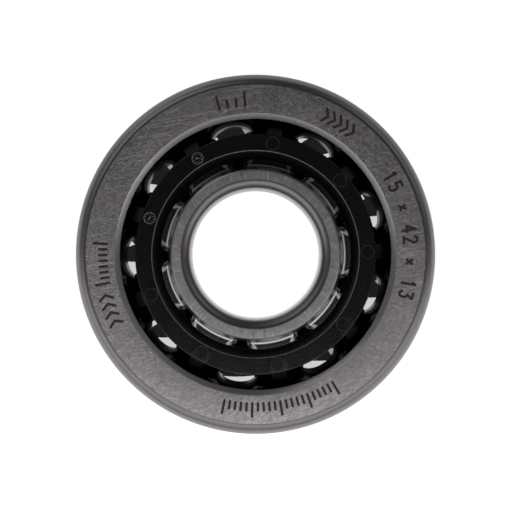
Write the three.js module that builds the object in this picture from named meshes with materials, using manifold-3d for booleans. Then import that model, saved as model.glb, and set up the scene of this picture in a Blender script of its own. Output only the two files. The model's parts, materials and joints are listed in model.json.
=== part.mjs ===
// Single-row angular contact ball bearing, open on both sides, 15 x 42 x 13 mm.
// The bearing lies flat. Its axis is +Z, the origin is on the axis in the lower side plane, and the
// marked side, with the outer ring's wide face, is up. Units are millimetres.
//
// The outer ring's high shoulder is at the top and the inner ring's is at the bottom, so the line of
// contact through each ball leans outwards and up by the contact angle. The cage is a moulded window
// cage: a small ring over the balls at the top, a larger ring under them at the bottom, and a bar
// between each pair of balls.

import * as THREE from "three";
import { mergeVertices } from "three/addons/utils/BufferGeometryUtils.js";
import Module from "manifold-3d";

// Boundary dimensions: ISO 15 dimension series 03, bore code 02.
const BORE_R = 15 / 2;
const OUTER_R = 42 / 2;
const WIDTH = 13;

// Balls and contact geometry.
const BALL_COUNT = 9;
const BALL_R = 7.938 / 2;
const PITCH_R = (BORE_R + OUTER_R) / 2;
const MID_Z = WIDTH / 2;
const CONTACT_ANGLE = THREE.MathUtils.degToRad(40);
const GROOVE_R = 1.05 * BALL_R;
const RUNNING_GAP = 0.06;
const BALL_PITCH = (2 * Math.PI) / BALL_COUNT;
const FIRST_BALL_ANGLE = THREE.MathUtils.degToRad(21.2);

// Outer ring.
const OUTER_LAND_R = 15.82;
const OUTER_LIP_R = 18.17;
const OUTER_RELIEF_R = 18.4;
const OUTER_TOP_CORNER = 1.0;
const OUTER_TOP_CORNER_DEPTH = 1.6;
const OUTER_BOTTOM_CHAMFER = 0.6;
const OUTER_LAND_CHAMFER = 0.64;
const OUTER_RELIEF_CHAMFER = 0.35;

// Inner ring.
const INNER_SHOULDER_R = 12.15;
const INNER_LIP_R = 10.33;
const INNER_TOP_FACE_R = 9.74;
const INNER_EDGE_CHAMFER = 0.2;
const INNER_SHOULDER_CHAMFER = 0.3;
const INNER_TOP_CORNER = 1.25;
const INNER_TOP_CORNER_DEPTH = 1.7;
const INNER_BOTTOM_CORNER = 1.0;

// Cage.
const POCKET_R = BALL_R + 0.13;
const CAGE_TOP_Z = 12.2;
const CAGE_BOTTOM_Z = 1.8;
const CAGE_BORE_R = 11.1;
const CAGE_FACE_INNER_R = 12.17;
const CAGE_FACE_OUTER_R = 14.07;
const CAGE_LEDGE_Z = 8.9;
const CAGE_LEDGE_OUTER = [15.9, 8.1];
const CAGE_BODY_TOP_Z = 6.9;
const CAGE_BODY_R = 17.0;
const CAGE_FOOT_INNER_R = 14.1;
const CAGE_FOOT_INNER_Z = 2.9;
const CAGE_CONE_TOP_Z = 8.6;
const CAGE_FOOT_CHAMFER = 0.4;
const CAGE_EDGE = 0.2;

// Each bar carries a rib that stands on the ledge and stiffens the top ring.
const RIB_INNER_R = 13.8;
const RIB_OUTER_R = 14.9;
const RIB_HALF_WIDTH = 0.88;
const RIB_TOP_Z = 11.7;
const RIB_SHOULDER_Z = 10.9;
const RIB_FOOT_Z = 8.0;

// Facets.
const TURN_STEPS = 64;
const GROOVE_STEPS = 9;
const CORNER_STEPS = 3;
const BALL_DETAIL = 3;
const POCKET_DETAIL = 3;

const steel = new THREE.MeshStandardMaterial({ color: 0x8a8888, roughness: 0.35, metalness: 1 });
const ballSteel = new THREE.MeshStandardMaterial({ color: 0xd0d0d0, roughness: 0.08, metalness: 1 });
const polyamide = new THREE.MeshStandardMaterial({ color: 0x17171a, roughness: 0.45, metalness: 0 });

// Points on an arc in the section plane, from one angle to another, both ends included.
// Angles run from +r towards +z. A different axial radius makes the arc an ellipse's.
function arc(centreR, centreZ, radius, from, to, steps, axialRadius = radius) {
  return Array.from({ length: steps + 1 }, (_, i) => {
    const a = from + ((to - from) * i) / steps;
    return [centreR + radius * Math.cos(a), centreZ + axialRadius * Math.sin(a)];
  });
}

// The top corner of a ring, which is deeper along the axis than across it. The side is 1 where the
// ring's body lies inside the corner, and -1 where it lies outside it.
function topCorner(cornerR, side, across, depth) {
  const [from, to] = side > 0 ? [0, Math.PI / 2] : [Math.PI / 2, Math.PI];
  return arc(cornerR - side * across, WIDTH - depth, across, from, to, CORNER_STEPS, depth);
}

// A closed section of [r, z] points, anticlockwise, turned about Z.
function turned(section) {
  const points = [...section, section[0]].map(([r, z]) => new THREE.Vector2(r, z));
  return new THREE.LatheGeometry(points, TURN_STEPS).rotateX(Math.PI / 2);
}

// The centre of a raceway's arc lies on the contact line, past the ball's centre, so that the ball
// clears the arc by the running gap at the contact angle. The side is 1 for the inner ring's groove,
// whose centre is outside the ball's, and -1 for the outer ring's.
function grooveCentre(side) {
  const offset = side * (GROOVE_R - BALL_R - RUNNING_GAP);
  return [PITCH_R + offset * Math.cos(CONTACT_ANGLE), MID_Z + offset * Math.sin(CONTACT_ANGLE)];
}

function outerRing() {
  const [gr, gz] = grooveCentre(-1);
  const shoulder = Math.acos((OUTER_LAND_R - gr) / GROOVE_R);
  const lip = -Math.acos((OUTER_LIP_R - gr) / GROOVE_R);
  const reliefEdgeR = OUTER_RELIEF_R + OUTER_RELIEF_CHAMFER;
  return turned([
    [reliefEdgeR, 0],
    [OUTER_R - OUTER_BOTTOM_CHAMFER, 0],
    [OUTER_R, OUTER_BOTTOM_CHAMFER],
    ...topCorner(OUTER_R, 1, OUTER_TOP_CORNER, OUTER_TOP_CORNER_DEPTH),
    [OUTER_LAND_R + OUTER_LAND_CHAMFER, WIDTH],
    [OUTER_LAND_R, WIDTH - OUTER_LAND_CHAMFER],
    ...arc(gr, gz, GROOVE_R, shoulder, lip, GROOVE_STEPS),
    [OUTER_RELIEF_R, OUTER_RELIEF_CHAMFER],
  ]);
}

function innerRing() {
  const [gr, gz] = grooveCentre(1);
  const lip = Math.PI - Math.acos((gr - INNER_LIP_R) / GROOVE_R);
  const shoulder = Math.PI + Math.acos((gr - INNER_SHOULDER_R) / GROOVE_R);
  const bottom = INNER_BOTTOM_CORNER;
  return turned([
    ...arc(BORE_R + bottom, bottom, bottom, Math.PI, 1.5 * Math.PI, CORNER_STEPS),
    [INNER_SHOULDER_R - INNER_SHOULDER_CHAMFER, 0],
    [INNER_SHOULDER_R, INNER_SHOULDER_CHAMFER],
    ...arc(gr, gz, GROOVE_R, shoulder, lip, GROOVE_STEPS),
    [INNER_TOP_FACE_R + INNER_EDGE_CHAMFER, WIDTH - INNER_EDGE_CHAMFER],
    [INNER_TOP_FACE_R, WIDTH],
    ...topCorner(BORE_R, -1, INNER_TOP_CORNER, INNER_TOP_CORNER_DEPTH),
  ]);
}

function cageBody() {
  return turned([
    [CAGE_FOOT_INNER_R + CAGE_FOOT_CHAMFER, CAGE_BOTTOM_Z],
    [CAGE_BODY_R - CAGE_EDGE, CAGE_BOTTOM_Z],
    [CAGE_BODY_R, CAGE_BOTTOM_Z + CAGE_EDGE],
    [CAGE_BODY_R, CAGE_BODY_TOP_Z],
    CAGE_LEDGE_OUTER,
    [CAGE_FACE_OUTER_R, CAGE_LEDGE_Z],
    [CAGE_FACE_OUTER_R, CAGE_TOP_Z],
    [CAGE_FACE_INNER_R, CAGE_TOP_Z],
    [CAGE_BORE_R, CAGE_TOP_Z - (CAGE_FACE_INNER_R - CAGE_BORE_R)],
    [CAGE_BORE_R, CAGE_CONE_TOP_Z],
    [CAGE_FOOT_INNER_R, CAGE_FOOT_INNER_Z],
    [CAGE_FOOT_INNER_R, CAGE_BOTTOM_Z + CAGE_FOOT_CHAMFER],
  ]);
}

// One rib, centred on the bar at this angle.
function cageRib(angle) {
  const section = new THREE.Shape(
    [
      [RIB_INNER_R, RIB_FOOT_Z],
      [RIB_OUTER_R, RIB_FOOT_Z],
      [RIB_OUTER_R, RIB_SHOULDER_Z],
      [RIB_INNER_R, RIB_TOP_Z],
    ].map(([r, z]) => new THREE.Vector2(r, z)),
  );
  return new THREE.ExtrudeGeometry(section, { depth: 2 * RIB_HALF_WIDTH, bevelEnabled: false })
    .translate(0, 0, -RIB_HALF_WIDTH)
    .rotateX(Math.PI / 2)
    .rotateZ(angle);
}

function ballCentre(index) {
  const angle = FIRST_BALL_ANGLE + index * BALL_PITCH;
  return new THREE.Vector3(PITCH_R * Math.cos(angle), PITCH_R * Math.sin(angle), MID_Z);
}

const wasm = await Module();
wasm.setup();

function toSolid(geometry) {
  const bare = geometry.clone().deleteAttribute("normal").deleteAttribute("uv");
  const merged = mergeVertices(bare, 1e-3);
  return new wasm.Manifold(
    new wasm.Mesh({
      numProp: 3,
      vertProperties: new Float32Array(merged.attributes.position.array),
      triVerts: new Uint32Array(merged.index.array),
    }),
  );
}

function toGeometry(solid) {
  const mesh = solid.getMesh();
  return new THREE.BufferGeometry()
    .setAttribute("position", new THREE.BufferAttribute(mesh.vertProperties, 3))
    .setIndex(new THREE.BufferAttribute(mesh.triVerts, 1));
}

// The turned body, with a rib on each bar, less a round pocket for each ball.
function cage() {
  let solid = toSolid(cageBody());
  for (let i = 0; i < BALL_COUNT; i += 1) {
    solid = solid.add(toSolid(cageRib(FIRST_BALL_ANGLE + (i + 0.5) * BALL_PITCH)));
  }
  for (let i = 0; i < BALL_COUNT; i += 1) {
    const centre = ballCentre(i);
    const pocket = new THREE.IcosahedronGeometry(POCKET_R, POCKET_DETAIL);
    solid = solid.subtract(toSolid(pocket.translate(centre.x, centre.y, centre.z)));
  }
  return toGeometry(solid);
}

function named(name, geometry, material) {
  const mesh = new THREE.Mesh(geometry, material);
  mesh.name = name;
  return mesh;
}

const bearing = new THREE.Group();
bearing.add(named("outer_ring", outerRing(), steel));
bearing.add(named("inner_ring", innerRing(), steel));
bearing.add(named("cage", cage(), polyamide));
for (let i = 0; i < BALL_COUNT; i += 1) {
  const ball = named(`ball_${i + 1}`, new THREE.IcosahedronGeometry(BALL_R, BALL_DETAIL), ballSteel);
  ball.position.copy(ballCentre(i));
  bearing.add(ball);
}

export default bearing;
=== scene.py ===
"""An open single-row angular contact ball bearing, 15 x 42 x 13 mm, lying on a white table.

The bearing's axis is +Z and its marked side is up. Twelve pieces stand for the twelve CAD nodes: two
turned and ground rings, a moulded window cage and nine balls. Lengths are in millimetres until a mesh
is made, and in metres from there on.
"""

import json
import math
from functools import partial

import bmesh
import bpy
from mathutils import Matrix, Vector


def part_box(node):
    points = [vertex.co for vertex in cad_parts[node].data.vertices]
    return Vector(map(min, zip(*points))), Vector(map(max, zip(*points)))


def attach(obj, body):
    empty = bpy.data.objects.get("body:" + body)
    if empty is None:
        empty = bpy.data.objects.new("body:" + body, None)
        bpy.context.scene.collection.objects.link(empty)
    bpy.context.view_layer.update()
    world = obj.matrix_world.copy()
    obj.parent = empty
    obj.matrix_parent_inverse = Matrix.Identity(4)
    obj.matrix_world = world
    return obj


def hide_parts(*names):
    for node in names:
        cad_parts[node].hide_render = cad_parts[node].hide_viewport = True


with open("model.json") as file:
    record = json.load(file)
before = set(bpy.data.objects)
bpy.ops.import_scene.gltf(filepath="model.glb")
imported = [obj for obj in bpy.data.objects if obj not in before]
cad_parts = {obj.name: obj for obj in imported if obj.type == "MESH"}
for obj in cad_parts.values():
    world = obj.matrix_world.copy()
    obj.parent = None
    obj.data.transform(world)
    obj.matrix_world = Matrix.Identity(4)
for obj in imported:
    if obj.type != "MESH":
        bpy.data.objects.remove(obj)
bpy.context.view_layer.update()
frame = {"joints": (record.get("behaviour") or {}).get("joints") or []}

MM = 0.001

# ---------------------------------------------------------------------------------------------
# Driving dimensions, in millimetres

OUTER_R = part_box("outer_ring")[1].x / MM
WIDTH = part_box("outer_ring")[1].z / MM
BORE_R = 7.5
BALL_R = 7.938 / 2
PITCH_R = (BORE_R + OUTER_R) / 2
MID_Z = WIDTH / 2
CONTACT_ANGLE = math.radians(40)
GROOVE_R = 1.05 * BALL_R
RUNNING_GAP = 0.06
BALL_JOINTS = [joint for joint in frame["joints"] if joint["name"].startswith("ball_")]
BALL_COUNT = len(BALL_JOINTS)
BALL_PITCH = math.tau / BALL_COUNT
FIRST_BALL_ANGLE = math.atan2(BALL_JOINTS[0]["pos_m"][1], BALL_JOINTS[0]["pos_m"][0])

TURN_STEPS = 288
ARC_STEPS = 28
FILLET_STEPS = 4
SHARP_ANGLE = math.radians(28)


# ---------------------------------------------------------------------------------------------
# Section drawing

def arc_points(centre, radius, start, end, steps, second_radius=None):
    """Points on an arc, both ends included. A second radius makes the arc an ellipse's."""
    angles = (start + (end - start) * i / steps for i in range(steps + 1))
    rise = second_radius or radius
    return [(centre[0] + radius * math.cos(a), centre[1] + rise * math.sin(a)) for a in angles]


def fillet_points(before, corner, after, radius):
    """An arc that rounds a corner of the section, tangent to both of its sides."""
    corner = Vector(corner)
    to_before = (Vector(before) - corner).normalized()
    to_after = (Vector(after) - corner).normalized()
    half = to_before.angle(to_after) / 2
    reach = radius / math.tan(half)
    centre = corner + (to_before + to_after).normalized() * (radius / math.sin(half))
    first = corner + to_before * reach - centre
    last = corner + to_after * reach - centre
    turn = first.angle_signed(last)
    return [tuple(centre + Matrix.Rotation(-turn * i / FILLET_STEPS, 2) @ first)
            for i in range(FILLET_STEPS + 1)]


def section_loop(corners):
    """Expands (r, z, fillet radius, finish) corners into (r, z, finish) points round a closed section.

    The finish belongs to the stretch that runs from the corner to the next one.
    """
    loop = []
    for i, (r, z, radius, finish) in enumerate(corners):
        if radius == 0:
            loop.append((r, z, finish))
            continue
        before = corners[i - 1][:2]
        after = corners[(i + 1) % len(corners)][:2]
        loop += [(x, y, finish) for x, y in fillet_points(before, (r, z), after, radius)]
    return loop


def new_object(name, mesh):
    piece = bpy.data.objects.new(name, mesh)
    bpy.context.scene.collection.objects.link(piece)
    return piece


def turned_piece(name, corners, finishes):
    """Turns a closed section about Z. finishes maps each finish's name to its material."""
    loop = section_loop(corners)
    names = list(finishes)
    count = len(loop)
    vertices = []
    for step in range(TURN_STEPS):
        a = math.tau * step / TURN_STEPS
        vertices += [(r * math.cos(a) * MM, r * math.sin(a) * MM, z * MM) for r, z, _ in loop]
    faces = []
    slots = []
    for step in range(TURN_STEPS):
        here = step * count
        there = (step + 1) % TURN_STEPS * count
        for i in range(count):
            j = (i + 1) % count
            faces.append((here + i, there + i, there + j, here + j))
            slots.append(names.index(loop[i][2]))
    mesh = bpy.data.meshes.new(name)
    mesh.from_pydata(vertices, [], faces)
    for finish in names:
        mesh.materials.append(finishes[finish])
    mesh.polygons.foreach_set("material_index", slots)
    smooth_by_angle(mesh)
    return new_object(name, mesh)


def smooth_by_angle(mesh, angle=SHARP_ANGLE):
    mesh.polygons.foreach_set("use_smooth", [True] * len(mesh.polygons))
    mesh.set_sharp_from_angle(angle=angle)


def carve(piece, cutter, operation="DIFFERENCE"):
    """Cuts the cutter out of the piece, or joins it on, and removes it. New faces keep its material."""
    modifier = piece.modifiers.new("carve", "BOOLEAN")
    modifier.operation = operation
    modifier.solver = "MANIFOLD"
    modifier.material_mode = "TRANSFER"
    modifier.object = cutter
    apply_modifiers(piece)
    bpy.data.objects.remove(cutter)


def apply_modifiers(piece):
    """Puts the evaluated mesh in place of the piece's own and clears its modifiers."""
    evaluated = piece.evaluated_get(bpy.context.evaluated_depsgraph_get())
    mesh = bpy.data.meshes.new_from_object(evaluated)
    piece.modifiers.clear()
    piece.data = mesh


def merged(name, material, builders):
    """One object of several closed shells, each added to a shared bmesh by its builder."""
    shells = bmesh.new()
    for build in builders:
        build(shells)
    mesh = bpy.data.meshes.new(name)
    shells.to_mesh(mesh)
    shells.free()
    mesh.materials.append(material)
    return new_object(name, mesh)


# ---------------------------------------------------------------------------------------------
# Shader building

def node(tree, kind, inputs=None, **settings):
    """Adds a shader node, sets or links its inputs, and returns its first output."""
    made = tree.nodes.new("ShaderNode" + kind)
    for key, value in settings.items():
        setattr(made, key, value)
    for key, value in (inputs or {}).items():
        if isinstance(value, bpy.types.NodeSocket):
            tree.links.new(value, made.inputs[key])
        else:
            made.inputs[key].default_value = value
    return made.outputs[0]


def math_node(tree, operation, *values):
    return node(tree, "Math", dict(enumerate(values)), operation=operation)


def ramp(tree, value, start, end, low, high):
    """Runs straight from low at start to high at end, and stays level beyond them."""
    return node(tree, "MapRange", {"Value": value, "From Min": start, "From Max": end,
                                   "To Min": low, "To Max": high})


def spread(tree, value, low, high):
    """Maps 0..1 to low..high."""
    return ramp(tree, value, 0, 1, low, high)


def step_up(tree, value, start, end):
    """0 below start, 1 above end, smooth between."""
    return node(tree, "MapRange", {"Value": value, "From Min": start, "From Max": end},
                interpolation_type="SMOOTHSTEP")


def mix_colour(tree, share, first, second):
    """Mixes two colours. A Mix node's colours are its inputs 6 and 7, and its output 2."""
    mixed = node(tree, "Mix", {"Factor": share}, data_type="RGBA")
    mixer = mixed.node
    for socket, value in ((mixer.inputs[6], first), (mixer.inputs[7], second)):
        if isinstance(value, bpy.types.NodeSocket):
            tree.links.new(value, socket)
        else:
            socket.default_value = (*value, 1)
    return mixer.outputs[2]


def place_in_mm(tree):
    """The point on the piece, in millimetres in the bearing's frame."""
    place = node(tree, "TexCoord").node.outputs["Object"]
    return node(tree, "VectorMath", {0: place, "Scale": 1 / MM}, operation="SCALE")


def round_the_axis(tree, around, outwards, along):
    """Noise coordinates that stretch a pattern round the axis, outwards from it, or along it."""
    place = place_in_mm(tree)
    flat = node(tree, "VectorMath", {0: place, 1: (1, 1, 0)}, operation="MULTIPLY")
    radius = node(tree, "VectorMath", {0: flat}, operation="LENGTH").node.outputs["Value"]
    ray = node(tree, "VectorMath", {0: flat}, operation="NORMALIZE")
    height = node(tree, "SeparateXYZ", {0: place}).node.outputs["Z"]
    rise = math_node(tree, "ADD", math_node(tree, "MULTIPLY", radius, outwards),
                     math_node(tree, "MULTIPLY", height, along))
    lift = node(tree, "CombineXYZ", {"Z": rise})
    turn = node(tree, "VectorMath", {0: ray, "Scale": around}, operation="SCALE")
    return node(tree, "VectorMath", {0: turn, 1: lift}, operation="ADD")


def noise(tree, vector, scale=1.0, detail=3.0, roughness=0.55):
    return node(tree, "TexNoise", {"Vector": vector, "Scale": scale, "Detail": detail,
                                   "Roughness": roughness})


def streaks(tree, degrees, across, along, start, end):
    """Sparse straight scratches in one direction, 0..1."""
    turn = {"Vector": place_in_mm(tree), "Angle": math.radians(degrees)}
    turned = node(tree, "VectorRotate", turn, rotation_type="Z_AXIS")
    stretched = node(tree, "VectorMath", {0: turned, 1: (across, along, 0.5)}, operation="MULTIPLY")
    return step_up(tree, noise(tree, stretched, detail=2), start, end)


def blank_material(name):
    material = bpy.data.materials.new(name)
    material.use_nodes = True
    tree = material.node_tree
    shader = tree.nodes["Principled BSDF"]
    return material, tree, shader


def finish_shader(tree, shader, colour, roughness, height, bump_mm):
    tree.links.new(colour, shader.inputs["Base Color"])
    tree.links.new(roughness, shader.inputs["Roughness"])
    bump = node(tree, "Bump", {"Height": height, "Distance": bump_mm * MM, "Strength": 1.0})
    tree.links.new(bump, shader.inputs["Normal"])


# ---------------------------------------------------------------------------------------------
# Materials

def lapped_steel():
    """The rings' side faces: a fine mottled lay from lapping, with scratches in all directions."""
    material, tree, shader = blank_material("lapped_steel")
    shader.inputs["Metallic"].default_value = 1.0
    place = place_in_mm(tree)
    cloud = noise(tree, place, scale=0.35, detail=5)
    grain = noise(tree, place, scale=3.2, detail=6, roughness=0.8)
    lay = streaks(tree, 62, 5.0, 1.6, 0.42, 0.62)
    scratches = streaks(tree, 82, 9.0, 0.10, 0.60, 0.70)
    for degrees in (17, 58, 125, 149):
        more = streaks(tree, degrees, 8.0, 0.08, 0.63, 0.73)
        scratches = math_node(tree, "MAXIMUM", scratches, more)
    tint = step_up(tree, noise(tree, place, scale=1.3, detail=4), 0.35, 0.65)
    colour = mix_colour(tree, tint, (0.45, 0.405, 0.395), (0.42, 0.415, 0.435))
    colour = mix_colour(tree, step_up(tree, cloud, 0.3, 0.7), colour, (0.54, 0.51, 0.515))
    colour = mix_colour(tree, step_up(tree, grain, 0.38, 0.66), colour, (0.74, 0.71, 0.715))
    colour = mix_colour(tree, math_node(tree, "MULTIPLY", lay, 0.5), colour, (0.30, 0.28, 0.278))
    colour = mix_colour(tree, math_node(tree, "MULTIPLY", scratches, 0.4), colour, (0.24, 0.22, 0.21))
    roughness = math_node(tree, "ADD", spread(tree, grain, 0.24, 0.50),
                          math_node(tree, "MULTIPLY", lay, 0.08))
    height = math_node(tree, "SUBTRACT", grain, scratches)
    finish_shader(tree, shader, colour, roughness, height, 0.006)
    return material


def face_ground_steel():
    """The inner ring's side faces: short grinding lines that fan out from the bore."""
    material, tree, shader = blank_material("face_ground_steel")
    shader.inputs["Metallic"].default_value = 1.0
    fan = noise(tree, round_the_axis(tree, 36.0, 1.0, 0.4), detail=5, roughness=0.75)
    odd = noise(tree, round_the_axis(tree, 22.0, 0.5, 0.2), detail=2)
    cloud = noise(tree, place_in_mm(tree), scale=0.8, detail=3)
    lines = step_up(tree, fan, 0.48, 0.66)
    deep = step_up(tree, odd, 0.60, 0.72)
    colour = mix_colour(tree, cloud, (0.34, 0.325, 0.33), (0.45, 0.435, 0.44))
    colour = mix_colour(tree, math_node(tree, "MULTIPLY", lines, 0.75), colour, (0.66, 0.64, 0.65))
    colour = mix_colour(tree, math_node(tree, "MULTIPLY", deep, 0.6), colour, (0.19, 0.175, 0.175))
    roughness = spread(tree, fan, 0.42, 0.60)
    finish_shader(tree, shader, colour, roughness, fan, 0.008)
    return material


# Steel surfaces finished in the round: the colours of the crests and of the hollows of the tool lines,
# the least and the greatest roughness, and the lines' height in millimetres.
ROUND_FINISHES = {
    "turned": ((0.27, 0.255, 0.255), (0.165, 0.155, 0.155), 0.30, 0.46, 0.004),
    "chamfered": ((0.62, 0.59, 0.59), (0.44, 0.42, 0.42), 0.26, 0.42, 0.004),
    "ground": ((0.55, 0.53, 0.53), (0.38, 0.36, 0.36), 0.18, 0.38, 0.004),
    "honed": ((0.56, 0.56, 0.57), (0.43, 0.43, 0.44), 0.06, 0.18, 0.0008),
    "land": ((0.30, 0.28, 0.28), (0.18, 0.17, 0.17), 0.14, 0.26, 0.003),
    "unground": ((0.05, 0.045, 0.045), (0.02, 0.02, 0.02), 0.40, 0.60, 0.004),
}


def round_steel(name, light, dark, roughness_low, roughness_high, bump_mm):
    """One of the round finishes: fine lines round the axis over a faint mottle."""
    material, tree, shader = blank_material(name)
    shader.inputs["Metallic"].default_value = 1.0
    lines = noise(tree, round_the_axis(tree, 2.0, 16.0, 16.0), detail=4, roughness=0.65)
    mottle = noise(tree, place_in_mm(tree), scale=1.2, detail=4)
    colour = mix_colour(tree, lines, dark, light)
    colour = mix_colour(tree, math_node(tree, "MULTIPLY", mottle, 0.4), colour, dark)
    mixed = math_node(tree, "MULTIPLY", math_node(tree, "ADD", lines, mottle), 0.5)
    roughness = spread(tree, mixed, roughness_low, roughness_high)
    finish_shader(tree, shader, colour, roughness, lines, bump_mm)
    return material


def etched_steel():
    """The dark oxide that a marking laser leaves in the recess of a mark."""
    material, tree, shader = blank_material("etched_steel")
    shader.inputs["Metallic"].default_value = 0.35
    soot = noise(tree, place_in_mm(tree), scale=9.0, detail=4)
    colour = mix_colour(tree, soot, (0.016, 0.012, 0.011), (0.060, 0.048, 0.043))
    finish_shader(tree, shader, colour, spread(tree, soot, 0.45, 0.75), soot, 0.008)
    return material


def ball_steel():
    """Lapped and polished: a mirror with a very faint haze and hairlines."""
    material, tree, shader = blank_material("ball_steel")
    shader.inputs["Metallic"].default_value = 1.0
    haze = noise(tree, place_in_mm(tree), scale=1.5, detail=4)
    colour = mix_colour(tree, haze, (0.46, 0.46, 0.47), (0.54, 0.54, 0.55))
    hair = streaks(tree, 35, 14.0, 0.8, 0.66, 0.74)
    roughness = math_node(tree, "ADD", spread(tree, haze, 0.02, 0.06),
                          math_node(tree, "MULTIPLY", hair, 0.05))
    finish_shader(tree, shader, colour, roughness, hair, -0.0006)
    return material


def cage_polyamide():
    """Black glass-filled polyamide: satin, with a fine fibre grain and faint rings from the turned mould."""
    material, tree, shader = blank_material("cage_polyamide")
    shader.inputs["IOR"].default_value = 1.53
    place = place_in_mm(tree)
    fibre = noise(tree, place, scale=5.0, detail=5, roughness=0.7)
    flow = noise(tree, place, scale=0.6, detail=3)
    rings = noise(tree, round_the_axis(tree, 1.2, 7.0, 3.0), detail=3)
    colour = mix_colour(tree, fibre, (0.0020, 0.0020, 0.0024), (0.0050, 0.0050, 0.0056))
    roughness = math_node(tree, "ADD", spread(tree, fibre, 0.16, 0.32), spread(tree, flow, 0.0, 0.08))
    height = math_node(tree, "ADD", math_node(tree, "MULTIPLY", fibre, 0.35),
                       math_node(tree, "MULTIPLY", rings, 1.4))
    finish_shader(tree, shader, colour, roughness, height, 0.006)
    return material


def dull_polyamide(name, dark, light):
    """The same moulding where its skin is broken: matt, and paler than the skin. On the cage's inner top
    edge this paleness is a painted highlight.
    """
    material, tree, shader = blank_material(name)
    grain = noise(tree, place_in_mm(tree), scale=8.0, detail=4)
    colour = mix_colour(tree, grain, dark, light)
    finish_shader(tree, shader, colour, spread(tree, grain, 0.5, 0.8), grain, 0.004)
    return material


# ---------------------------------------------------------------------------------------------
# Rings

def groove_centre(side):
    """The raceway arc's centre: past the ball's centre on the contact line by the groove's openness."""
    offset = side * (GROOVE_R - BALL_R - RUNNING_GAP)
    return PITCH_R + offset * math.cos(CONTACT_ANGLE), MID_Z + offset * math.sin(CONTACT_ANGLE)


def tagged(points, finish):
    return [(r, z, 0, finish) for r, z in points]


def outer_ring(finishes):
    """High shoulder at the top, relieved bore at the bottom, and a well-rounded top corner."""
    land_r = 15.82
    land_chamfer = 0.64
    ground_land_z = 11.2
    lip_r = 18.17
    relief_r = 18.4
    relief_chamfer = 0.35
    top_corner = 1.2
    top_depth = 1.6
    bottom_corner = 0.6
    centre = groove_centre(-1)
    shoulder = math.acos((land_r - centre[0]) / GROOVE_R)
    lip = -math.acos((lip_r - centre[0]) / GROOVE_R)
    corner_centre = OUTER_R - top_corner, WIDTH - top_depth
    groove = arc_points(centre, GROOVE_R, shoulder, lip, ARC_STEPS)
    rounding = arc_points(corner_centre, top_corner, 0, math.pi / 2, ARC_STEPS, top_depth)
    corners = [
        (relief_r + relief_chamfer, 0, 0.1, "face"),
        (OUTER_R - bottom_corner, 0, 0.25, "turned"),
        (OUTER_R, bottom_corner, 0.25, "ground"),
        *tagged(rounding[:-1], "turned"),
        (*rounding[-1], 0, "face"),
        (land_r + land_chamfer, WIDTH, 0.03, "chamfered"),
        (land_r, WIDTH - land_chamfer, 0.04, "land"),
        (land_r, ground_land_z, 0, "unground"),
        *tagged(groove[:-1], "honed"),
        (*groove[-1], 0, "chamfered"),
        (relief_r, relief_chamfer, 0.1, "chamfered"),
    ]
    return turned_piece("outer_ring_steel", corners, finishes)


def inner_ring(finishes):
    """High shoulder at the bottom, low lip at the top, and rounded bore corners.

    The bore's grinding runs a little way up its top corner.
    """
    shoulder_r = 12.15
    shoulder_chamfer = 0.3
    lip_r = 10.33
    face_r = 9.74
    edge = 0.2
    top_corner = 1.25
    top_depth = 1.7
    bottom_corner = 1.0
    ground_from = round(0.55 * ARC_STEPS)
    centre = groove_centre(1)
    lip = math.pi - math.acos((centre[0] - lip_r) / GROOVE_R)
    shoulder = math.pi + math.acos((centre[0] - shoulder_r) / GROOVE_R)
    bottom_centre = BORE_R + bottom_corner, bottom_corner
    top_centre = BORE_R + top_corner, WIDTH - top_depth
    bottom = arc_points(bottom_centre, bottom_corner, math.pi, 1.5 * math.pi, ARC_STEPS)
    groove = arc_points(centre, GROOVE_R, shoulder, lip, ARC_STEPS)
    top = arc_points(top_centre, top_corner, math.pi / 2, math.pi, ARC_STEPS, top_depth)
    corners = [
        *tagged(bottom[:-1], "turned"),
        (*bottom[-1], 0, "face"),
        (shoulder_r - shoulder_chamfer, 0, 0.08, "chamfered"),
        (shoulder_r, shoulder_chamfer, 0.08, "chamfered"),
        *tagged(groove[:-1], "honed"),
        (*groove[-1], 0, "ground"),
        (face_r + edge, WIDTH - edge, 0.05, "chamfered"),
        (face_r, WIDTH, 0.05, "face"),
        *tagged(top[:ground_from], "turned"),
        *tagged(top[ground_from:], "ground"),
    ]
    return turned_piece("inner_ring_steel", corners, finishes)


# ---------------------------------------------------------------------------------------------
# Balls and cage

def add_ball(shells, centre, radius, cells):
    """A cube of cells x cells faces a side, drawn out to a sphere with nearly even faces."""
    first = len(shells.verts)
    made = bmesh.ops.create_cube(shells, size=2)["verts"]
    edges = list({edge for vertex in made for edge in vertex.link_edges})
    bmesh.ops.subdivide_edges(shells, edges=edges, cuts=cells - 1, use_grid_fill=True)
    shells.verts.ensure_lookup_table()
    for vertex in shells.verts[first:]:
        evened = Vector([math.tan(value * math.pi / 4) for value in vertex.co])
        vertex.co = (centre + evened.normalized() * radius) * MM


def ball_centre(index):
    angle = FIRST_BALL_ANGLE + index * BALL_PITCH
    return Vector((PITCH_R * math.cos(angle), PITCH_R * math.sin(angle), MID_Z))


def steel_ball(index, material):
    build = partial(add_ball, centre=ball_centre(index), radius=BALL_R, cells=24)
    piece = merged(f"steel_ball_{index + 1}", material, [build])
    smooth_by_angle(piece.data)
    return piece


def add_prism(shells, outline, height, turn):
    """Adds a closed prism: an anticlockwise (x, y) outline drawn up by height, then placed by turn."""
    low = [shells.verts.new(turn @ Vector((x, y, 0)) * MM) for x, y in outline]
    high = [shells.verts.new(turn @ Vector((x, y, height)) * MM) for x, y in outline]
    shells.faces.new(reversed(low))
    shells.faces.new(high)
    for i in range(len(outline)):
        j = (i + 1) % len(outline)
        shells.faces.new((low[i], low[j], high[j], high[i]))


def circle(radius, steps):
    return arc_points((0, 0), radius, 0, math.tau * (steps - 1) / steps, steps - 1)


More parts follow.
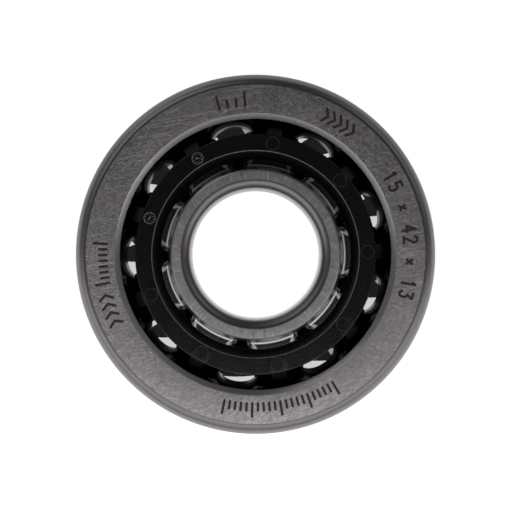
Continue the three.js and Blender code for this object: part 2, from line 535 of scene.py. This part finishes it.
def rounded_outline(corners, radius):
    """An outline with each of its (x, y) corners rounded."""
    count = len(corners)
    return [point for i in range(count)
            for point in fillet_points(corners[i - 1], corners[i], corners[(i + 1) % count], radius)]


def bar_angle(index):
    """The bars stand midway between the balls."""
    return FIRST_BALL_ANGLE + (index + 0.5) * BALL_PITCH


def add_rib(shells, angle):
    """A rounded upright on a bar. Its outline is drawn in plan, and its top slopes down outwards."""
    inner_r = 13.8
    outer_r = 14.9
    half_width = 0.88
    rounding = 0.22
    foot_z = 8.0
    top_z = 11.7
    shoulder_z = 10.9
    outline = rounded_outline([(inner_r, -half_width), (outer_r, -half_width),
                               (outer_r, half_width), (inner_r, half_width)], rounding)
    turn = Matrix.Rotation(angle, 4, "Z") @ Matrix.Translation((0, 0, foot_z))
    first = len(shells.verts)
    add_prism(shells, outline, top_z - foot_z, turn)
    shells.verts.ensure_lookup_table()
    slope = (top_z - shoulder_z) / (outer_r - inner_r)
    for vertex in shells.verts[first + len(outline):]:
        vertex.co.z = (top_z - slope * (vertex.co.xy.length / MM - inner_r)) * MM


CAGE_TOP_Z = 12.2


def cage_body(finishes):
    """A small ring over the balls, a cone between them and a larger ring below.

    A thin pale strip runs round the top ring's inner edge: a painted highlight where the edge catches the
    light.
    """
    edge = 0.12
    soft = 0.35
    corners = [
        (14.5, 1.8, edge, "moulded"),
        (16.8, 1.8, edge, "moulded"),
        (17.0, 2.0, edge / 2, "moulded"),
        (17.0, 6.9, soft, "moulded"),
        (15.9, 8.1, soft, "moulded"),
        (14.07, 8.9, soft, "moulded"),
        (14.07, CAGE_TOP_Z, edge, "moulded"),
        # The strip from here to the next corner is painted highlight.
        (12.17, CAGE_TOP_Z, 0, "painted_edge_highlight"),
        (12.07, 12.13, 0, "moulded"),
        (11.1, 10.7, edge, "moulded"),
        (11.1, 8.6, soft, "moulded"),
        (14.1, 2.9, soft, "moulded"),
        (14.1, 2.2, edge / 2, "moulded"),
    ]
    return turned_piece("cage_moulding", corners, finishes)


# Moulding marks on the cage's top face. Their cutters stand above the face that they cut.
PIN_TRACK_R = 13.08
PIN_R = 0.8
DIAL_R = 0.7
RIM_WIDTH = 0.1
PIN_DEPTH = 0.05
PIN_CUT_HEIGHT = 0.15


def on_the_cage(angle):
    """The place of a moulding mark on the cage's top face, sunk to its depth."""
    sink = Matrix.Translation((PIN_TRACK_R, 0, CAGE_TOP_Z - PIN_DEPTH))
    return Matrix.Rotation(angle, 4, "Z") @ sink


def add_rim(shells, outer_r, turn, steps=32):
    """Adds the closed flat ring that cuts a circular groove."""
    inner_r = outer_r - RIM_WIDTH
    section = ((inner_r, 0), (outer_r, 0), (outer_r, PIN_CUT_HEIGHT), (inner_r, PIN_CUT_HEIGHT))
    loops = [[shells.verts.new(turn @ Vector((x, y, z)) * MM) for x, y in circle(radius, steps)]
             for radius, z in section]
    for here, there in zip(loops, loops[1:] + loops[:1]):
        for i in range(steps):
            j = (i + 1) % steps
            shells.faces.new((here[i], here[j], there[j], there[i]))


def add_pin(shells, angle):
    """The shallow witness that an ejector pin leaves: a disc inside a fine groove."""
    add_rim(shells, PIN_R, on_the_cage(angle))


def add_dial(shells, angle):
    """A plain date dial with no characters: a rim, ticks and a hand."""
    tick_count = 8
    tick = [(0.36, -0.05), (0.52, -0.05), (0.52, 0.05), (0.36, 0.05)]
    hand = [(-0.26, -0.06), (0.04, -0.06), (0.04, -0.17), (0.28, 0.0),
            (0.04, 0.17), (0.04, 0.06), (-0.26, 0.06)]
    place = on_the_cage(angle)
    add_rim(shells, DIAL_R, place)
    for i in range(tick_count):
        turn = Matrix.Rotation(math.tau * i / tick_count, 4, "Z")
        add_prism(shells, tick, PIN_CUT_HEIGHT, place @ turn)
    add_prism(shells, hand, PIN_CUT_HEIGHT, place @ Matrix.Rotation(math.radians(70), 4, "Z"))


def even_out(piece):
    """Lets the large faces set the shading, so that flats look flat beside their rounded edges."""
    weighted = piece.modifiers.new("weighted", "WEIGHTED_NORMAL")
    weighted.keep_sharp = True
    weighted.weight = 80
    apply_modifiers(piece)


def cage():
    """The turned body with a rib on each bar, less a pocket for each ball and the moulding marks."""
    pocket_r = BALL_R + 0.13
    dials = (2, 3)
    material = cage_polyamide()
    # Pale colour for the top ring's inner edge: a painted highlight.
    painted_edge_highlight = dull_polyamide("cage_painted_edge_highlight", (0.03, 0.03, 0.032), (0.26, 0.26, 0.27))
    worn = dull_polyamide("cage_pin_marks", (0.004, 0.004, 0.0045), (0.075, 0.075, 0.078))
    frosted = dull_polyamide("cage_frosting", (0.10, 0.10, 0.105), (0.36, 0.36, 0.37))
    piece = cage_body({"moulded": material, "painted_edge_highlight": painted_edge_highlight})
    bars = [bar_angle(i) for i in range(BALL_COUNT)]
    centres = [ball_centre(i) for i in range(BALL_COUNT)]
    carve(piece, merged("ribs", material, [partial(add_rib, angle=bar) for bar in bars]), "UNION")
    pockets = [partial(add_ball, centre=centre, radius=pocket_r, cells=22) for centre in centres]
    carve(piece, merged("pockets", material, pockets))
    soften = piece.modifiers.new("soften", "BEVEL")
    soften.width = 0.06 * MM
    soften.segments = 2
    soften.limit_method = "ANGLE"
    soften.angle_limit = SHARP_ANGLE
    apply_modifiers(piece)
    pins = [partial(add_pin, angle=bar) for i, bar in enumerate(bars) if i not in dials]
    carve(piece, merged("pins", worn, pins))
    carve(piece, merged("dials", frosted, [partial(add_dial, angle=bars[i]) for i in dials]))
    smooth_by_angle(piece.data)
    even_out(piece)
    return piece


# ---------------------------------------------------------------------------------------------
# Generic marks on the outer ring's wide face

# Each character is one or more pen strokes through points of a 2 x 4 grid.
DIGIT_STROKES = {
    "1": [[(0.3, 3.3), (1, 4), (1, 0)]],
    "2": [[(0, 3.4), (0.5, 4), (1.5, 4), (2, 3.4), (2, 2.6), (0, 0), (2, 0)]],
    "3": [[(0, 4), (2, 4), (1, 2.4), (1.6, 2.2), (2, 1.5), (2, 0.7), (1.5, 0), (0.5, 0), (0, 0.6)]],
    "4": [[(1.5, 0), (1.5, 4), (0, 1.3), (2, 1.3)]],
    "5": [[(1.9, 4), (0.1, 4), (0.1, 2.3), (1.3, 2.5), (2, 1.8), (2, 0.8), (1.4, 0), (0.5, 0),
           (0, 0.5)]],
    "x": [[(0.3, 0.7), (1.7, 2.3)], [(0.3, 2.3), (1.7, 0.7)]],
}
MARK_R = 18.15
MARK_HEIGHT = 1.55
MARK_STROKE = 0.30
MARK_DEPTH = 0.02


def add_stroke(shells, start, end, turn):
    """Adds one straight pen stroke with round ends."""
    radius = MARK_STROKE / 2
    heading = math.atan2(end[1] - start[1], end[0] - start[0])
    round_end = arc_points(end, radius, heading - math.pi / 2, heading + math.pi / 2, 6)
    round_start = arc_points(start, radius, heading + math.pi / 2, heading + 1.5 * math.pi, 6)
    add_prism(shells, round_end + round_start, 4 * MARK_DEPTH, turn)


def on_the_face(angle):
    """Places a mark that is read from outside the ring, standing outwards, at an angle round it."""
    sink = Matrix.Translation((0, MARK_R - MARK_HEIGHT / 2, WIDTH - MARK_DEPTH))
    return Matrix.Rotation(angle - math.pi / 2, 4, "Z") @ sink


def digit_row(text, start, end):
    """Cutters for a row of digits, clockwise from start to end in degrees. Spaces are left blank."""
    cutters = []
    unit = MARK_HEIGHT / 4
    for i, character in enumerate(text):
        angle = math.radians(start + (end - start) * i / (len(text) - 1))
        for stroke in DIGIT_STROKES.get(character, []):
            points = [((x - 1) * unit * 0.85, y * unit) for x, y in stroke]
            cutters += [(a, b, angle) for a, b in zip(points, points[1:])]
    return cutters


def tick_row(count, start, end, tall_every):
    """Cutters for a plain scale of upright ticks, every so many of them tall."""
    cutters = []
    for i in range(count):
        angle = math.radians(start + (end - start) * i / (count - 1))
        top = MARK_HEIGHT if i % tall_every == 0 else MARK_HEIGHT * 0.55
        cutters.append(((0, 0), (0, top), angle))
    return cutters


def chevron_row(count, start, end):
    """Cutters for plain chevrons that point the way that the row runs."""
    cutters = []
    half = MARK_HEIGHT / 2
    for i in range(count):
        angle = math.radians(start + (end - start) * i / (count - 1))
        cutters.append(((-0.25, 0), (0.25, half), angle))
        cutters.append(((0.25, half), (-0.25, 2 * half), angle))
    return cutters


def face_marks():
    """Every mark's strokes, each with its two ends and its angle round the face."""
    return (digit_row("15 x 42 x 13", start=30, end=-15)
            + chevron_row(count=5, start=63, end=52)
            + tick_row(count=4, start=104, end=94, tall_every=3)
            + tick_row(count=21, start=301, end=258, tall_every=5)
            + chevron_row(count=4, start=206, end=196)
            + tick_row(count=8, start=191, end=176, tall_every=7))


def engrave(piece, strokes, dark):
    """Cuts each stroke into the top face and leaves its recess in the dark material.

    Strokes that touch are never in the same cutter, because a cutter's shells may not overlap.
    """
    for share in (strokes[0::3], strokes[1::3], strokes[2::3]):
        cutters = [partial(add_stroke, start=start, end=end, turn=on_the_face(angle))
                   for start, end, angle in share]
        carve(piece, merged("marks", dark, cutters))
    smooth_by_angle(piece.data)


# ---------------------------------------------------------------------------------------------
# Studio

def emitter(name, strength):
    material = bpy.data.materials.new(name)
    material.use_nodes = True
    tree = material.node_tree
    tree.nodes.clear()
    light = tree.nodes.new("ShaderNodeEmission")
    light.inputs["Strength"].default_value = strength
    output = tree.nodes.new("ShaderNodeOutputMaterial")
    tree.links.new(light.outputs[0], output.inputs["Surface"])
    return material


def lit_table():
    """White to the camera. The steel mirrors it brightly through the bore and darkly right under the
    bearing, where a painted shadow lies, and everywhere it is paler towards the front, a painted fall of
    light.
    """
    material = emitter("lit_table", 1.0)
    tree = material.node_tree
    light = tree.nodes["Emission"]
    place = place_in_mm(tree)
    across = node(tree, "SeparateXYZ", {0: place}).node.outputs["Y"]
    radius = node(tree, "VectorMath", {0: place}, operation="LENGTH").node.outputs["Value"]
    # Painted shade: dark under the bearing's middle, darkest towards the back.
    inside = math_node(tree, "MULTIPLY", ramp(tree, across, 14, -12, 0.06, 1.15),
                       step_up(tree, radius, 17.0, 16.0))
    # Painted shadow under the outer ring; beyond it painted light, paler towards the front.
    outside = math_node(tree, "MULTIPLY", ramp(tree, across, 25, -25, 0.65, 1.3),
                        step_up(tree, radius, OUTER_R - 1.5, OUTER_R))
    bore = math_node(tree, "MULTIPLY", ramp(tree, across, BORE_R, -BORE_R, 0.72, 1.05),
                     step_up(tree, radius, BORE_R + 0.6, BORE_R))
    glow = math_node(tree, "MAXIMUM", math_node(tree, "ADD", inside, outside), bore)
    seen = node(tree, "LightPath").node.outputs["Is Camera Ray"]
    tree.links.new(math_node(tree, "MAXIMUM", glow, seen), light.inputs["Strength"])
    return material


def table_and_backdrop():
    """A white table top under the bearing, even to the camera but with painted shade in the light it gives
    the steel, and a white surround beyond it.
    """
    disc = partial(bmesh.ops.create_circle, cap_ends=True, segments=96, radius=0.9)
    ball = partial(bmesh.ops.create_uvsphere, u_segments=64, v_segments=32, radius=2.5)
    table = merged("table_top", lit_table(), [disc])
    table.location.z = -0.02 * MM
    surround = merged("surround", emitter("lit_surround", 1.0), [ball])
    for kind in ("diffuse", "glossy", "transmission", "shadow"):
        setattr(surround, "visible_" + kind, False)


def panel(name, centre, width, depth, radiance, aim=None, turn=0):
    """A soft studio panel, in millimetres. It faces straight down, turned by some degrees, unless it is
    aimed at a point.
    """
    data = bpy.data.lights.new(name, "AREA")
    data.shape = "RECTANGLE"
    data.size = width * MM
    data.size_y = depth * MM
    data.energy = 4 * radiance * data.size * data.size_y
    light = bpy.data.objects.new(name, data)
    light.location = Vector(centre) * MM
    light.rotation_euler.z = math.radians(turn)
    if aim is not None:
        light.rotation_euler = (Vector(centre) - Vector(aim)).to_track_quat("Z", "Y").to_euler()
    light.visible_camera = False
    bpy.context.scene.collection.objects.link(light)


def around(azimuth, elevation, distance):
    """A point at a direction and distance from the bearing, in degrees and millimetres."""
    a = math.radians(azimuth)
    e = math.radians(elevation)
    flat = distance * math.cos(e)
    return flat * math.cos(a), flat * math.sin(a), WIDTH + distance * math.sin(e)


def dim_room():
    """A dark room, paler near the horizon, where the table's surround ends."""
    world = bpy.data.worlds.new("studio")
    world.use_nodes = True
    tree = world.node_tree
    direction = node(tree, "TexCoord").node.outputs["Generated"]
    height = node(tree, "SeparateXYZ", {0: direction}).node.outputs["Z"]
    glow = ramp(tree, height, 0.0, 0.35, 0.14, 0.025)
    tree.links.new(glow, tree.nodes["Background"].inputs["Strength"])
    tree.nodes["Background"].inputs["Color"].default_value = (1, 1, 1, 1)
    return world


def lights():
    middle = (0, 0, WIDTH)
    panel("front_panel", (0, -116, 93), 600, 180, 0.95)
    panel("back_left_panel", (-76, 86, 93), 110, 70, 0.95, turn=25)
    panel("left_lamp", around(196, 32, 200), 70, 40, 0.9, aim=middle)
    panel("back_right_panel", around(38, 32, 240), 170, 130, 0.45, aim=middle)
    panel("low_back_left_panel", around(122, 3, 260), 150, 60, 0.7, aim=middle)
    panel("low_right_panel", around(335, 14, 240), 130, 80, 0.35, aim=middle)
    for azimuth in (205, 240, 275, 310):
        panel(f"low_front_panel_{azimuth}", around(azimuth, 2, 260), 160, 56, 0.42, aim=middle)
    bpy.context.scene.world = dim_room()


def camera():
    """Looks straight down on the bearing, a hair off its axis."""
    data = bpy.data.cameras.new("camera")
    data.sensor_width = 36
    distance = 620
    field = 59.45
    data.lens = data.sensor_width * (distance - WIDTH) / field
    data.clip_start = 0.05
    data.clip_end = 20
    view = bpy.data.objects.new("camera", data)
    view.location = Vector((-0.0655, -0.078, distance)) * MM
    bpy.context.scene.collection.objects.link(view)
    bpy.context.scene.camera = view


# ---------------------------------------------------------------------------------------------
# Assembly

def settle(piece, body, stands_for):
    """Makes a piece ride on its body and stand for its CAD node."""
    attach(piece, body)
    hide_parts(stands_for)


def bearing():
    finishes = {"face": lapped_steel()}
    for name, look in ROUND_FINISHES.items():
        finishes[name] = round_steel(name + "_steel", *look)
    ring = outer_ring(finishes)
    engrave(ring, face_marks(), etched_steel())
    settle(ring, "outer_ring", "outer_ring")
    finishes["face"] = face_ground_steel()
    settle(inner_ring(finishes), "inner_ring", "inner_ring")
    settle(cage(), "cage", "cage")
    polished = ball_steel()
    for i in range(BALL_COUNT):
        settle(steel_ball(i, polished), f"ball_{i + 1}", f"ball_{i + 1}")


bearing()
table_and_backdrop()
lights()
camera()
bpy.context.scene.view_settings.view_transform = "Standard"
